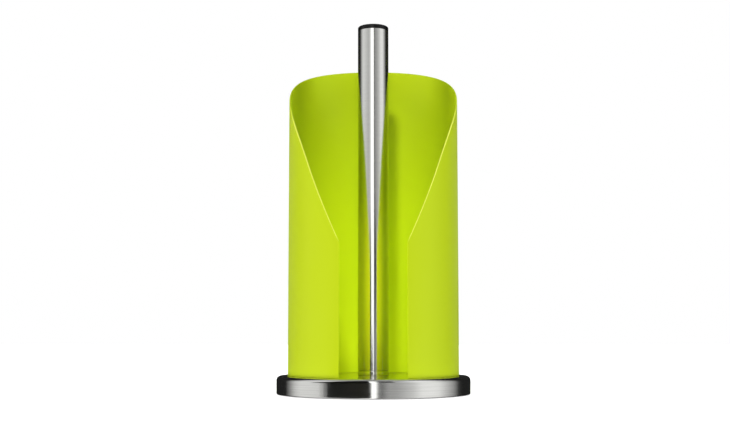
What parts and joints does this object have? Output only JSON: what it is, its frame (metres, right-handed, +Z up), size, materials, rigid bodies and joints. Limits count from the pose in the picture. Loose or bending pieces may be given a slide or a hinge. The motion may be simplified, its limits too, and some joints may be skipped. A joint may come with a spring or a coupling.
{
  "type": "paper towel holder",
  "caption": "Standing kitchen roll holder: weighted round steel base, upright steel tube with a black cap, and a rolled sheet mantle with a slanted rim and a front paper slit.",
  "frame": {"origin": "on the tube's axis, on the surface that the holder stands on", "axes": "+Z up along the tube, -Y towards the paper slit, +X to the right of someone who faces the slit"},
  "size_m": [0.155, 0.155, 0.3],
  "materials": {
    "base_steel": "brushed round the axis",
    "tube_steel": "finely ground, satin",
    "foot_steel": "turned and polished",
    "mantle_coat": "satin lime powder coat",
    "cap_plastic": "gloss moulding",
    "floor_plastic": "fine moulded grain",
    "ring_rubber": "matt",
    "ballast_steel": "turned, oiled",
    "zinc_fasteners": "zinc plated"
  },
  "bodies": {
    "root": {"base_dish": "base_steel", "ballast_disc": "ballast_steel", "floor_plate": "floor_plastic", "anti_slip_ring": "ring_rubber", "floor_screw_1": "zinc_fasteners", "floor_screw_2": "zinc_fasteners", "floor_screw_3": "zinc_fasteners", "tube_bolt": "zinc_fasteners", "tube_lock_washer": "zinc_fasteners", "tube_foot": "foot_steel", "tube": "tube_steel", "tube_cap": "cap_plastic", "mantle": "mantle_coat", "mantle_nut_1": "zinc_fasteners", "mantle_nut_2": "zinc_fasteners", "mantle_nut_3": "zinc_fasteners", "mantle_screw_1": "zinc_fasteners", "mantle_screw_2": "zinc_fasteners", "mantle_screw_3": "zinc_fasteners", "mantle_washer_1": "zinc_fasteners", "mantle_washer_2": "zinc_fasteners", "mantle_washer_3": "zinc_fasteners"}
  },
  "joints": []
}
